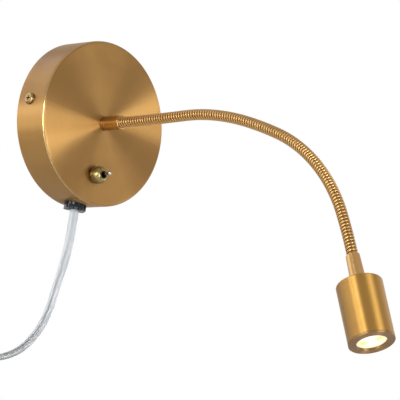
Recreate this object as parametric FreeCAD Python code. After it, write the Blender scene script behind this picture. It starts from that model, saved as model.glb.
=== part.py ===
"""Gooseneck wall lamp: a drum-shaped wall base, a ribbed hose and a small lamp head on a plug-in cord.

Lengths are millimetres and angles are degrees. The wall is the plane y = 0, the lamp looks along -Y
and Z is up. The origin is the centre of the base's open back, on the wall. The hose, the head and the
switch lie in the plane x = 0. The hose, the cord and the wires have flat sides here, so that few facets
carry them, and the section of each equals that of its round or oval original.
"""
import FreeCAD, Part
import math
import os
from FreeCAD import Placement, Rotation, Vector

# Shared by many pieces
overrun = 1.0            # how far a cutting tool runs past what it cuts
running_gap = 0.3        # between pieces that move past each other
seat_gap = 0.1           # between a piece and the bore or pocket that it sits in
close_length = 0.001     # two lengths nearer than this are the same

# Base cover, a spun cup that is open to the wall
base_radius = 60.0
base_depth = 28.0
base_wall = 1.2
base_edge_radius = 2.0
side_hole_depth = 12.2   # from the wall to the side screws and to the cord grip

# Wall bracket, a strap with two tabs that the side screws pull on
bracket_width = 24.0
bracket_thickness = 2.0
bracket_tab_length = 19.0
bracket_bend_radius = 2.5
bracket_wall_gap = 0.4   # between the tabs' corners and the cover
bracket_centre_hole_radius = 6.0
wall_slot_width = 4.5
wall_slot_length = 14.0
wall_slot_spacing = 60.0

# Side screws, M4 pan heads
screw_radius = 2.0
screw_head_radius = 4.25
screw_head_height = 2.4
screw_crown_height = 1.5
screw_crown_steps = 5
screw_flat_radius = 2.6
screw_hole_clearance = 0.25
screw_thread_gap = 0.05
screw_length = 8.0
screw_rise = 1.4         # above the middle of the base
screw_recess_width = 0.9
screw_recess_length = 4.0
screw_recess_depth = 1.6

# Hose, a spiral-wound gooseneck
hose_radius = 3.9
hose_groove_radius = 3.3
hose_bore_radius = 2.6
rib_pitch = 2.38
rib_edge_shares = (0.0, 0.2, 0.75, 1.0)   # of the pitch: groove, crest, crest, groove
ribs_per_link = 12
ribs_per_turn = 1
hose_sides = 16
link_bends_deg = (-1, -1, 10, 8, 5, 13, 13, 14, 4)   # how far each link bends down at rest

# Stem that carries the hose on the base
stem_radius = 5.2
stem_length = 18.0
stem_mouth_chamfer = 0.5
stem_lip = 0.7
socket_depth = 9.0       # how deep the hose's plain ends sit in the stem and in the neck
nipple_radius = 4.0
nipple_bore_radius = 2.5
nipple_clearance = 0.15
washer_radius = 8.5
washer_thickness = 1.0
nut_across_flats = 12.0
nut_height = 3.5
nut_proud = 1.0          # nipple left standing past its nut

# Neck that carries the head on the hose
neck_length = 20.7
neck_mouth_radius = 4.65
neck_foot_radius = 5.3
neck_mouth_chamfer = 0.3
neck_lip = 0.4

# Head
head_radius = 15.25
head_length = 42.7
head_wall = 1.3
head_top_thickness = 1.6
head_top_edge_radius = 1.4
head_step = 1.2          # shoulder inside the housing that the heat sink seats on
lens_opening_radius = 10.0
bezel_thickness = 1.5
bezel_spigot_length = 6.0
bezel_spigot_wall = 1.2
lens_thickness = 1.8
led_board_thickness = 1.6
led_chip_size = 3.5
led_chip_height = 0.9
led_chip_spacing = 11.0
led_turn_deg = 69.0         # line through the two chips, from sideways towards the front
sink_plate = 4.0
sink_length = 18.0
sink_core_radius = 5.0
sink_fin_thickness = 1.2
sink_fin_count = 10

# Toggle switch
switch_rim_gap = 21.3    # from the switch's middle line to the base's rim
bushing_radius = 3.0
bushing_bore_radius = 2.1
bushing_mouth_radius = 2.6
bushing_mouth_depth = 1.5
bushing_standout = 8.5   # in front of the base's face
dress_nut_radius = 6.3
dress_nut_length = 8.1
dress_nut_root_radius = 5.4
dress_nut_root_length = 0.7
dress_nut_nose_radius = 3.6
dress_nut_dome_length = 3.4
dress_nut_dome_steps = 6
lock_nut_across_flats = 8.0
lock_nut_height = 2.0
switch_body_width = 13.0
switch_body_height = 12.6
switch_body_depth = 11.0
switch_body_edge_radius = 0.8
terminal_width = 4.8
terminal_thickness = 0.8
terminal_length = 5.0
terminal_spacing = 5.0
lever_pivot_depth = 5.5  # behind the bushing's mouth
lever_ball_radius = 1.8
lever_root_radius = 0.85
lever_tip_radius = 1.5
lever_waist_radius = 0.9
lever_reach = 7.2        # from the bushing's mouth to the end of the lever
lever_tail_length = 3.5
lever_throw_deg = 4.0

# Cord grip at the bottom of the base
grip_lobe_width = 6.3
grip_lobe_depth = 10.0
grip_lobe_spacing = 8.8
grip_lobe_edge_radius = 2.4
grip_height = 4.3
grip_web_width = 7.4
grip_web_drop = 1.2
grip_flange_radius = 7.4
grip_flange_thickness = 1.6
grip_neck_radius = 5.5
grip_lip_radius = 6.5
grip_lip_height = 2.5
grip_wall_room = 0.6     # between the cover's inner wall and the grip's inner lip
grip_turn_deg = 27.0

# Driver, taped inside the cover above the stem
driver_length = 42.0
driver_height = 22.0
driver_depth = 15.0
driver_wall = 1.4
driver_lid_thickness = 1.4
driver_edge_radius = 1.5
driver_pad_thickness = 1.0
driver_pad_margin = 3.0
driver_rim_gap = 22.0    # from the driver to the base's rim above it
driver_board_thickness = 1.2
driver_board_rise = 2.5
transformer_size = (12.0, 13.0, 8.0)
capacitor_radius = 3.2
capacitor_height = 7.5
capacitor_offset = 13.5
driver_post_width = 3.0

# Terminal block on the bracket
block_side_gap = 1.0     # from the block to the end of the side screw
block_width = 12.0
block_length = 18.0
block_height = 9.0
block_pole_spacing = 6.0
block_screw_spacing = 10.0
block_screw_radius = 1.8
block_screw_sink = 0.8
block_slot_width = 0.6
block_well_depth = 5.0

# Leads inside the lamp
lead_radius = 1.8
lead_bend_radius = 8.0
wire_radius = 1.1
wire_bend_share = 0.45
wire_lead = 4.0          # straight run where a core leaves its end
wire_rise = 12.0
wire_swing = 20.0
core_offset = 1.4
lead_sides = 8
wire_sides = 6

# Flat two-core mains cord, as a round tube of the same section
cord_width = 6.8
cord_thickness = 4.4
cord_sides = 8
cord_bend_share = 0.45
cord_route_xz = ((0, -64.3), (1, -80), (-0.5, -102), (-4, -120), (-6.5, -138), (-12.5, -156),
                 (-26.5, -174), (-45, -184), (-70, -189.5), (-95, -189.5))
coil_turns_each_way = 3
coil_outer_radius = 50.0
coil_turn_spacing = 7.05
coil_layer_spacing = 7.2
tail_runs = ((15.0, 0.0), (14.0, -4.5))   # along X and Z, from the coil to the plug
tie_width = 7.0
tie_thickness = 1.0
tie_gap = 0.6
tie_corner_radius = 2.0
tie_angle_deg = 205.0

# Two-pin plug
plug_width = 35.3
plug_thickness = 13.7
plug_face_length = 8.0
plug_shoulder_length = 12.0
plug_grip_length = 12.0
plug_grip_width = 20.0
plug_grip_thickness = 11.5
plug_sleeve_length = 14.0
plug_sleeve_radius = 4.0
plug_seat_depth = 8.0    # how far the cord runs into the plug's sleeve
plug_corner_share = 0.4
pin_radius = 2.0
pin_length = 19.0
pin_spacing = 18.6
pin_seat_depth = 4.0
pin_tip_radius = 1.2
gap_sample = 6.0         # spacing of the points that the coil's gap is measured at


def corner_radius(radius, sides):
    """Reach of the corners of a many-sided section that is as large as a round one."""
    return radius * math.sqrt(2 * math.pi / (sides * math.sin(2 * math.pi / sides)))


# Worked out from the sizes above
hose_socket_radius = hose_radius + seat_gap
nipple_length = base_wall + washer_thickness + nut_height + nut_proud
neck_nipple_length = head_top_thickness + nut_height + nut_proud
turn_length = ribs_per_turn * rib_pitch
cell_length = ribs_per_link * rib_pitch + turn_length
link_count = len(link_bends_deg)
hose_length = link_count * cell_length
hose_start = Vector(0, -base_depth - stem_length, 0)
cord_radius = math.sqrt(((cord_width - cord_thickness) * cord_thickness
                         + math.pi * cord_thickness ** 2 / 4) / math.pi)
cord_reach = corner_radius(cord_radius, cord_sides)
across = Vector(1, 0, 0)
switch_drop = base_radius - switch_rim_gap
driver_bottom = base_radius - driver_rim_gap - driver_height
block_x = base_radius - screw_length - block_side_gap - block_width / 2
cord_y = -side_hole_depth
rib_outline = tuple(zip(rib_edge_shares, (hose_groove_radius, hose_radius, hose_radius, hose_groove_radius)))
head_end = neck_length + head_length
bezel_low = head_end - bezel_thickness
board_high = bezel_low - bezel_spigot_length
board_low = board_high - led_board_thickness
sink_low = board_low - sink_plate
wall = Placement(Vector(), Rotation(across, 90))
front = Placement(Vector(0, -base_depth, 0), Rotation(across, 90))
switch_front = Placement(Vector(0, -base_depth, -switch_drop), Rotation(across, 90))
grip = Placement(Vector(0, -side_hole_depth, -base_radius), Rotation(across, 180))
upside_down = Placement(Vector(), Rotation(across, 180))


def rounded_can(radius, length, edge_radius):
    """Cylinder up from z = 0 whose top edge is rounded."""
    can = Part.makeCylinder(radius, length)
    top = [e for e in can.Edges if e.Closed and abs(e.CenterOfMass.z - length) < close_length]
    return can.makeFillet(edge_radius, top)


def turned(outline):
    """Solid of revolution about Z through points given as radius and height."""
    points = [Vector(radius, 0, height) for radius, height in outline]
    face = Part.Face(Part.makePolygon(points + points[:1]))
    return face.revolve(Vector(), Vector(0, 0, 1), 360)


def tube(outer, inner, low, high):
    """Plain ring about Z between two heights."""
    return turned([(inner, low), (outer, low), (outer, high), (inner, high)])


def rod(radius, low, high, at_x=0, at_y=0):
    """Round bar along Z between two heights."""
    return Part.makeCylinder(radius, high - low, Vector(at_x, at_y, low))


def box(size_x, size_y, low_z, high_z, at_x=0, at_y=0):
    """Block centred in X and Y that reaches from one height to another."""
    corner = Vector(at_x - size_x / 2, at_y - size_y / 2, low_z)
    return Part.makeBox(size_x, size_y, high_z - low_z, corner)


def upright_edges(shape):
    """Straight edges of a block that run along Z."""
    return [e for e in shape.Edges if abs(abs(e.tangentAt(e.FirstParameter).z) - 1) < close_length
            and not e.Closed]


def hexagon_nut(across_flats, bore, low, high):
    """Plain hexagon nut about Z."""
    corner = across_flats / math.sqrt(3)
    angles = [math.radians(60 * i) for i in range(7)]
    points = [Vector(corner * math.cos(a), corner * math.sin(a), low) for a in angles]
    body = Part.Face(Part.makePolygon(points)).extrude(Vector(0, 0, high - low))
    return body.cut(rod(bore, low - overrun, high + overrun))


def placed(shape, placement):
    """Copy of a shape, moved from its own frame to the lamp's."""
    return shape.transformed(placement.toMatrix(), True)


def arc_between(start, corner, end):
    """Arc that leaves start towards the corner and reaches end from it; both lie as far from the corner."""
    middle = (start + end) / 2
    half_chord = (end - start).Length / 2
    rise = corner - middle
    half_turn = math.atan2(rise.Length, half_chord)
    apex = middle + rise.normalize() * (half_chord * math.tan(half_turn / 2))
    return Part.Arc(start, apex, end).toShape()


def rounded_path(points, bend_share):
    """Straight runs joined by tangent arcs, and the arcs' radii.

    Each arc starts at the same share of the shorter of its two runs.
    """
    edges, radii, at = [], [], points[0]
    for before, corner, after in zip(points, points[1:], points[2:]):
        into, out = corner - before, after - corner
        reach = bend_share * min(into.Length, out.Length)
        turn = into.getAngle(out)
        start = corner - into.normalize() * reach
        end = corner + out.normalize() * reach
        edges += [Part.LineSegment(at, start).toShape(), arc_between(start, corner, end)]
        radii.append(reach / math.tan(turn / 2))
        at = end
    edges.append(Part.LineSegment(at, points[-1]).toShape())
    return edges, radii


def biarc(start, start_heading, end, end_heading):
    """Two tangent arcs that join two points with given headings."""
    span = end - start
    headings = start_heading + end_heading
    spread = 2 * (1 - start_heading.dot(end_heading))
    along = span.dot(headings)
    reach = (math.sqrt(along ** 2 + spread * span.dot(span)) - along) / spread
    first_corner = start + start_heading * reach
    last_corner = end - end_heading * reach
    middle = (first_corner + last_corner) / 2
    return [arc_between(start, first_corner, middle), arc_between(middle, last_corner, end)]


def swept(edges, radius, sides, heading):
    """Many-sided rod along tangent edges that start with the given heading, as large in section as a round one."""
    path = Part.Wire(edges)
    reach = corner_radius(radius, sides)
    turn = Rotation(Vector(0, 0, 1), heading)
    angles = [2 * math.pi * (i + 0.5) / sides for i in range(sides + 1)]
    start = path.OrderedVertexes[0].Point
    ring = Part.makePolygon([start + turn.multVec(Vector(reach * math.cos(a), reach * math.sin(a), 0))
                             for a in angles])
    return path.makePipeShell([ring], True, False)


# Base

def base_cover():
    shell = rounded_can(base_radius, base_depth, base_edge_radius)
    shell = shell.cut(rounded_can(base_radius - base_wall, base_depth - base_wall,
                                  base_edge_radius - base_wall))
    holes = [rod(nipple_radius + nipple_clearance, -overrun, base_depth + overrun),
             rod(bushing_radius + seat_gap, base_depth / 2, base_depth + overrun, at_y=-switch_drop)]
    length = 2 * (base_radius + overrun)
    side = Part.makeCylinder(screw_radius + screw_hole_clearance, length,
                             Vector(-length / 2, screw_rise, side_hole_depth), across)
    grip_hole = Part.makeCylinder(grip_neck_radius + seat_gap, base_radius,
                                  Vector(0, -base_wall, side_hole_depth), Vector(0, -1, 0))
    return {"base_cover": placed(shell.cut(holes + [side, grip_hole]), wall)}


def wall_bracket():
    corner_reach = base_radius - base_wall - bracket_wall_gap
    half_length = math.sqrt(corner_reach ** 2 - (bracket_width / 2) ** 2)
    strap = Part.makeBox(2 * half_length, bracket_width, bracket_tab_length,
                         Vector(-half_length, -bracket_width / 2, 0))
    inner = half_length - bracket_thickness
    room = Part.makeBox(2 * inner, bracket_width + 2 * overrun, bracket_tab_length,
                        Vector(-inner, -bracket_width / 2 - overrun, bracket_thickness))
    bends = [e for e in strap.Edges if abs(e.CenterOfMass.z) < close_length
             and abs(abs(e.CenterOfMass.x) - half_length) < close_length]
    strap = strap.makeFillet(bracket_bend_radius, bends).cut(room)
    cuts = [rod(bracket_centre_hole_radius, -overrun, bracket_thickness + overrun)]
    straight = wall_slot_length - wall_slot_width
    for side in (-1, 1):
        centre = side * wall_slot_spacing / 2
        ends = (centre - straight / 2, centre + straight / 2)
        cuts += [rod(wall_slot_width / 2, -overrun, bracket_thickness + overrun, at_x=x) for x in ends]
        cuts.append(box(straight, wall_slot_width, -overrun, bracket_thickness + overrun, at_x=centre))
    length = 2 * base_radius
    cuts.append(Part.makeCylinder(screw_radius + screw_thread_gap, length,
                                  Vector(-length / 2, screw_rise, side_hole_depth), across))
    return {"wall_bracket": placed(strap.cut(cuts), wall)}


def cross_recess(top):
    """Cutter for a cross-shaped screwdriver recess whose top lies at a height."""
    bottom = top - screw_recess_depth
    first = box(screw_recess_length, screw_recess_width, bottom, top + overrun)
    return first.fuse(box(screw_recess_width, screw_recess_length, bottom, top + overrun))


def pan_head_screw(length):
    """Screw along Z whose head sits on z = 0 and points up."""
    top = screw_head_height
    rim = screw_head_height - screw_crown_height
    outline = [(0, -length), (screw_radius, -length), (screw_radius, 0), (screw_head_radius, 0)]
    for step in range(screw_crown_steps + 1):
        angle = math.pi / 2 * step / screw_crown_steps
        radius = screw_flat_radius + (screw_head_radius - screw_flat_radius) * math.cos(angle)
        outline.append((radius, rim + screw_crown_height * math.sin(angle)))
    outline.append((0, top))
    return turned(outline).cut(cross_recess(top))


def cover_screws():
    screws = []
    for side in (-1, 1):
        seat = Placement(Vector(side * base_radius, -side_hole_depth, screw_rise),
                         Rotation(Vector(0, 1, 0), 90 * side))
        screws.append(placed(pan_head_screw(screw_length), seat))
    return {"cover_screws": Part.makeCompound(screws)}


def base_stem():
    mouth = hose_socket_radius + stem_lip
    ferrule = turned([(nipple_bore_radius, -nipple_length), (nipple_radius, -nipple_length),
                      (nipple_radius, 0), (stem_radius, 0), (stem_radius, stem_length - stem_mouth_chamfer),
                      (mouth, stem_length), (hose_socket_radius, stem_length),
                      (hose_socket_radius, stem_length - socket_depth),
                      (nipple_bore_radius, stem_length - socket_depth)])
    washer_low = -base_wall - washer_thickness
    washer = tube(washer_radius, nipple_radius + nipple_clearance, washer_low, -base_wall)
    nut = hexagon_nut(nut_across_flats, nipple_radius + screw_thread_gap, washer_low - nut_height, washer_low)
    return {"base_ferrule": placed(ferrule, front), "ferrule_washer": placed(washer, front),
            "ferrule_nut": placed(nut, front)}


# Hose

def along_hose(distance):
    """Point on the hose's centre line and how far it points down there, both from the stem's mouth."""
    point, down, left = hose_start, 0.0, max(distance, 0.0)
    for bend_deg in link_bends_deg:
        step = min(left, cell_length)
        curve = math.radians(bend_deg) / cell_length
        turned_to = down + curve * step
        point = point + Vector(0, (math.sin(down) - math.sin(turned_to)) / curve,
                               (math.cos(turned_to) - math.cos(down)) / curve)
        down, left = turned_to, left - step
    beyond = left if distance > 0 else distance
    return point + Vector(0, -math.cos(down), -math.sin(down)) * beyond, math.degrees(down)


def on_hose(distance):
    """Frame on the hose's centre line whose Z looks along the hose and whose X stays across it."""
    point, down_deg = along_hose(distance)
    return Placement(point, Rotation(across, 90 + down_deg))


def hose_ring(distance, radius):
    """Many-sided section of the hose, its corners in line with those of every other section."""
    angles = [2 * math.pi * (i + 0.5) / hose_sides for i in range(hose_sides + 1)]
    ring = Part.makePolygon([Vector(radius * math.cos(a), radius * math.sin(a), 0) for a in angles])
    ring.Placement = on_hose(distance)
    return ring


def ribbed_piece(start, ribs, lead_in=0, lead_out=0):
    """Ribbed stretch of hose with its bore; lead_in and lead_out are plain ends that sit in a socket."""
    end = start + ribs * rib_pitch
    stations = [(start + (rib + share) * rib_pitch, radius)
                for rib in range(ribs) for share, radius in rib_outline[:-1]]
    stations.append((end, hose_groove_radius))
    if lead_in:
        stations = [(start - lead_in, hose_radius), (start, hose_radius)] + stations[1:]
    if lead_out:
        stations = stations[:-1] + [(end, hose_radius), (end + lead_out, hose_radius)]
    body = Part.makeLoft([hose_ring(at, radius) for at, radius in stations], True, True)
    low, high = stations[0][0] - overrun, stations[-1][0] + overrun
    marks = [low + (high - low) * i / ribs_per_link for i in range(ribs_per_link + 1)]
    if ribs < ribs_per_link:
        marks = [low, high]
    return body.cut(Part.makeLoft([hose_ring(at, hose_bore_radius) for at in marks], True, True))


def hose():
    pieces = {}
    half_turn = turn_length / 2
    plain = socket_depth - half_turn
    for link in range(1, link_count + 1):
        start = (link - 1) * cell_length + half_turn
        ribs, lead_in, lead_out = ribs_per_link, 0, 0
        if link == 1:
            start, ribs, lead_in = start - turn_length, ribs + ribs_per_turn, plain
        if link == link_count:
            ribs, lead_out = ribs + ribs_per_turn, plain
        pieces["hose_link_" + str(link)] = ribbed_piece(start, ribs, lead_in, lead_out)
    for turn in range(1, link_count):
        pieces["hose_turn_" + str(turn)] = ribbed_piece(turn * cell_length - half_turn, ribs_per_turn)
    return pieces


def head_lead():
    """Lead from the driver through the stem, the hose and the neck to the lamp's board."""
    exit_y = hose_start.y + stem_length + nipple_length + lead_bend_radius
    top = Vector(0, exit_y, driver_bottom)
    corner = Vector(0, exit_y, 0)
    bend_end = corner - Vector(0, lead_bend_radius, 0)
    bend_start = corner + Vector(0, 0, lead_bend_radius)
    edges = [Part.LineSegment(top, bend_start).toShape(), arc_between(bend_start, corner, bend_end),
             Part.LineSegment(bend_end, hose_start).toShape()]
    for link in range(link_count):
        at = [along_hose((link + share) * cell_length)[0] for share in (0, 0.5, 1)]
        edges.append(Part.Arc(*at).toShape())
    board_back = on_hose(hose_length).multVec(Vector(0, 0, board_low))
    edges.append(Part.LineSegment(along_hose(hose_length)[0], board_back).toShape())
    return {"head_lead": swept(edges, lead_radius, lead_sides, Vector(0, 0, -1))}


# Head, built along Z from the end of the hose

head = on_hose(hose_length)


def neck():
    mouth = hose_socket_radius + neck_lip
    ferrule = turned([(hose_socket_radius, 0), (mouth, 0), (neck_mouth_radius, neck_mouth_chamfer),
                      (neck_foot_radius, neck_length), (nipple_radius, neck_length),
                      (nipple_radius, neck_length + neck_nipple_length),
                      (nipple_bore_radius, neck_length + neck_nipple_length),
                      (nipple_bore_radius, socket_depth), (hose_socket_radius, socket_depth)])
    nut_low = neck_length + head_top_thickness
    nut = hexagon_nut(nut_across_flats, nipple_radius + screw_thread_gap, nut_low, nut_low + nut_height)
    return {"head_ferrule": placed(ferrule, head), "head_nut": placed(nut, head)}


def lamp_housing():
    inner = head_radius - head_wall
    shell = placed(rounded_can(head_radius, bezel_low - neck_length, head_top_edge_radius), upside_down)
    shell.translate(Vector(0, 0, bezel_low))
    room_low = neck_length + head_top_thickness
    cuts = [rod(inner - head_step, room_low, head_end), rod(inner, sink_low, head_end),
            rod(nipple_radius + nipple_clearance, neck_length - overrun, head_end)]
    return {"lamp_housing": placed(shell.cut(cuts), head)}


def lens_end():
    inner = head_radius - head_wall - seat_gap
    spigot = inner - bezel_spigot_wall
    bezel = turned([(spigot, board_high), (inner, board_high), (inner, bezel_low), (head_radius, bezel_low),
                    (head_radius, head_end), (lens_opening_radius, head_end),
                    (lens_opening_radius, bezel_low), (spigot, bezel_low)])
    lens = rod(spigot - seat_gap, bezel_low - lens_thickness, bezel_low)
    return {"front_bezel": placed(bezel, head), "diffuser_lens": placed(lens, head)}


def light_engine():
    inner = head_radius - head_wall - seat_gap
    board = rod(inner, board_low, board_high)
    chips = Part.makeCompound([box(led_chip_size, led_chip_size, board_high, board_high + led_chip_height,
                                   at_x=side * led_chip_spacing / 2) for side in (-1, 1)])
    chips.rotate(Vector(), Vector(0, 0, 1), led_turn_deg)
    back = board_low - sink_length
    fins = []
    for fin in range(sink_fin_count):
        blade = Part.makeBox(inner - head_step - sink_core_radius / 2, sink_fin_thickness,
                             sink_length - sink_plate,
                             Vector(sink_core_radius / 2, -sink_fin_thickness / 2, back))
        blade.rotate(Vector(), Vector(0, 0, 1), 360 * fin / sink_fin_count)
        fins.append(blade)
    sink = rod(inner, sink_low, board_low).fuse(fins + [rod(sink_core_radius, back, sink_low)])
    sink = sink.cut(rod(lead_radius + running_gap, back - overrun, board_low + overrun)).removeSplitter()
    return {"led_board": placed(board, head), "led_chips": placed(chips, head),
            "heat_sink": placed(sink, head)}


# Toggle switch, built along Z from the base's face

def toggle_switch():
    bushing_back = -base_wall - lock_nut_height
    bushing = turned([(bushing_bore_radius, bushing_back), (bushing_radius, bushing_back),
                      (bushing_radius, bushing_standout), (bushing_mouth_radius, bushing_standout),
                      (bushing_bore_radius, bushing_standout - bushing_mouth_depth)])
    bore = bushing_radius + screw_thread_gap
    lock = hexagon_nut(lock_nut_across_flats, bore, bushing_back, -base_wall)
    waist = dress_nut_length - dress_nut_dome_length
    outline = [(bore, 0), (dress_nut_root_radius, 0), (dress_nut_root_radius, dress_nut_root_length),
               (dress_nut_radius, dress_nut_root_length)]
    for step in range(dress_nut_dome_steps + 1):
        angle = math.pi / 2 * step / dress_nut_dome_steps
        radius = dress_nut_nose_radius + (dress_nut_radius - dress_nut_nose_radius) * math.cos(angle)
        outline.append((radius, waist + dress_nut_dome_length * math.sin(angle)))
    outline.append((bore, dress_nut_length))
    body = box(switch_body_width, switch_body_height, bushing_back - switch_body_depth, bushing_back)
    body = body.makeFillet(switch_body_edge_radius, upright_edges(body))
    back = bushing_back - switch_body_depth
    lugs = [box(terminal_thickness, terminal_width, back - terminal_length, back, at_x=side * terminal_spacing / 2)
            for side in (-1, 1)]
    return {"toggle_bushing": placed(bushing, switch_front), "toggle_lock_nut": placed(lock, switch_front),
            "toggle_dress_nut": placed(turned(outline), switch_front),
            "toggle_body": placed(body, switch_front),
            "toggle_terminals": placed(Part.makeCompound(lugs), switch_front)}


def toggle_lever():
    """Lever tilted up by its throw, about a pivot inside the bushing."""
    end = lever_pivot_depth + lever_reach
    stalk = turned([(0, -lever_tail_length), (lever_root_radius, -lever_tail_length),
                    (lever_waist_radius, end - lever_tip_radius), (0, end - lever_tip_radius)])
    lever = stalk.fuse([Part.makeSphere(lever_ball_radius),
                        Part.makeSphere(lever_tip_radius, Vector(0, 0, end - lever_tip_radius))])
    pivot = switch_front.multVec(Vector(0, 0, bushing_standout - lever_pivot_depth))
    tilt = Placement(pivot, Rotation(across, 90 - lever_throw_deg))
    return {"toggle_lever": placed(lever, tilt)}


# Cord grip, built along Z from the base's side downwards

def cord_grip():
    line = math.radians(grip_turn_deg)
    flange = rod(grip_flange_radius, -base_wall, grip_flange_thickness)
    lobes = []
    for side in (-1, 1):
        lobe = box(grip_lobe_width, grip_lobe_depth, -base_wall, grip_height, at_x=side * grip_lobe_spacing / 2)
        lobe = lobe.makeFillet(grip_lobe_edge_radius, upright_edges(lobe))
        lobe.rotate(Vector(), Vector(0, 0, 1), grip_turn_deg)
        lobes.append(lobe)
    web = box(grip_lobe_spacing, grip_web_width, -base_wall, grip_height - grip_web_drop)
    web.rotate(Vector(), Vector(0, 0, 1), grip_turn_deg)
    head_piece = placed(flange.fuse(lobes + [web]), grip)
    drum = Part.makeCylinder(base_radius, base_depth, Vector(), Vector(0, -1, 0))
    head_piece = head_piece.cut(drum)
    lip_low = -base_wall - grip_wall_room - grip_lip_height
    shank = rod(grip_neck_radius, lip_low, 0).fuse(rod(grip_lip_radius, lip_low, lip_low + grip_lip_height))
    whole = head_piece.fuse(placed(shank, grip))
    bore = rod(cord_reach + seat_gap, lip_low - overrun, grip_height + overrun)
    return {"cord_gland": whole.cut(placed(bore, grip)).removeSplitter()}


# Driver and wiring inside the base

def driver():
    inside = base_depth - base_wall
    middle_z = driver_bottom + driver_height / 2
    pad_y = -inside
    case_front = pad_y + driver_pad_thickness
    stand = Placement(Vector(0, case_front, middle_z), Rotation(across, -90))
    pad = box(driver_length - driver_pad_margin, driver_height - driver_pad_margin, -driver_pad_thickness, 0)
    rim = driver_depth - driver_lid_thickness
    case = box(driver_length, driver_height, 0, rim)
    case = case.makeFillet(driver_edge_radius, upright_edges(case))
    room = box(driver_length - 2 * driver_wall, driver_height - 2 * driver_wall, driver_wall, rim + overrun)
    lid = box(driver_length, driver_height, rim, driver_depth)
    lid = lid.makeFillet(driver_edge_radius, upright_edges(lid))
    board_low = driver_wall + driver_board_rise
    board_high = board_low + driver_board_thickness
    fit = 2 * (driver_wall + seat_gap)
    board = box(driver_length - fit, driver_height - fit, board_low, board_high)
    size_x, size_y, size_z = transformer_size
    transformer = box(size_x, size_y, board_high, board_high + size_z)
    capacitors = [rod(capacitor_radius, board_high, board_high + capacitor_height, at_x=x)
                  for x in (-capacitor_offset, capacitor_offset)]
    posts = [box(driver_post_width, driver_post_width, driver_wall, board_low, at_x=x) for x in
             (-capacitor_offset, capacitor_offset)]
    tray = case.cut(room).fuse(posts)
    return {"driver_pad": placed(pad, stand), "driver_case": placed(tray, stand),
            "driver_lid": placed(lid, stand),
            "driver_board": placed(board.fuse([transformer] + capacitors), stand)}


def terminal_block():
    """Two-pole block on the bracket, with a clamping screw at each end of each pole."""
    low = bracket_thickness
    high = low + block_height
    block = box(block_width, block_length, low, high, at_x=block_x)
    screws, wells = [], []
    for pole in (-1, 1):
        for end in (-1, 1):
            x = block_x + pole * block_pole_spacing / 2
            y = end * block_screw_spacing / 2
            wells.append(rod(block_screw_radius + running_gap, high - block_well_depth, high + overrun, x, y))
            screw = rod(block_screw_radius, high - block_well_depth, high - block_screw_sink, x, y)
            slot = box(2 * block_screw_radius, block_slot_width, high - block_screw_sink - block_slot_width, high,
                       x, y)
            screws.append(screw.cut(slot))
    return {"terminal_block": placed(block.cut(wells), wall),
            "terminal_screws": placed(Part.makeCompound(screws), wall)}


def base_wires():
    """Cores from the cord to the switch and the block, and from the block to the driver."""
    pole = block_pole_spacing / 2
    core_z = -base_radius + base_wall + grip_wall_room + grip_lip_height
    lug_y = -base_depth + base_wall + lock_nut_height + switch_body_depth + terminal_length / 2
    lug_x, lug_rise = terminal_spacing / 2, terminal_width / 2
    block_y = -bracket_thickness - block_height / 2
    end_z = block_length / 2
    case_x = driver_length / 2
    case_y = -base_depth + base_wall + driver_pad_thickness + driver_depth / 2
    runs = [
        [(-core_offset, -side_hole_depth, core_z), (-core_offset, -side_hole_depth, core_z + wire_lead),
         (-lug_x, lug_y, -switch_drop - lug_rise - wire_lead), (-lug_x, lug_y, -switch_drop - lug_rise)],
        [(lug_x, lug_y, -switch_drop + lug_rise), (lug_x, lug_y, -switch_drop + lug_rise + wire_lead),
         (block_x - pole, block_y, -end_z - wire_rise), (block_x - pole, block_y, -end_z)],
        [(core_offset, -side_hole_depth, core_z), (core_offset, -side_hole_depth, core_z + wire_lead),
         (block_x - wire_swing, block_y, core_z + 2 * wire_lead), (block_x + pole, block_y, -end_z - wire_rise),
         (block_x + pole, block_y, -end_z)],
        [(block_x - pole, block_y, end_z), (block_x - pole, block_y, end_z + wire_lead),
         (case_x + wire_rise, case_y, driver_bottom + driver_height / 4),
         (case_x, case_y, driver_bottom + driver_height / 4)],
        [(block_x + pole, block_y, end_z), (block_x + pole, block_y, end_z + wire_rise),
         (case_x + wire_rise, case_y, driver_bottom + driver_height * 3 / 4),
         (case_x, case_y, driver_bottom + driver_height * 3 / 4)],
    ]
    wires = []
    for run in runs:
        points = [Vector(*p) for p in run]
        edges = rounded_path(points, wire_bend_share)[0]
        wires.append(swept(edges, wire_radius, wire_sides, points[1] - points[0]))
    return {"base_wires": Part.makeCompound(wires)}


# Cord, coil, tie and plug

def power_cord():
    points = [Vector(x, cord_y, z) for x, z in cord_route_xz]
    top = Vector(0, cord_y, -base_radius + base_wall + grip_wall_room + grip_lip_height)
    edges, radii = rounded_path([top] + points[1:], cord_bend_share)
    print("cord bend radii", [round(r, 1) for r in radii])
    return {"power_cord": swept(edges, cord_radius, cord_sides, Vector(0, 0, -1))}


def coil_knots():
    """Points and headings a quarter turn apart: in, over to the second layer, and out again to the bottom."""
    x_end, z_end = cord_route_xz[-1]
    centre = Vector(x_end, 0, z_end - coil_outer_radius)
    inner = coil_outer_radius - coil_turns_each_way * coil_turn_spacing
    quarters = 4 * coil_turns_each_way
    step = coil_turn_spacing / 4
    second_y = cord_y - coil_layer_spacing
    rounds = [(coil_outer_radius - step * i, cord_y) for i in range(quarters + 1)]
    rounds += [(inner + step * i, second_y) for i in range(quarters + 2)]
    knots = []
    for i, (radius, y) in enumerate(rounds):
        angle = math.pi / 2 * (i + 1)
        point = centre + Vector(radius * math.cos(angle), y, radius * math.sin(angle))
        knots.append((point, Vector(-math.sin(angle), 0, math.cos(angle))))
    return centre, inner, knots


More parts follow.
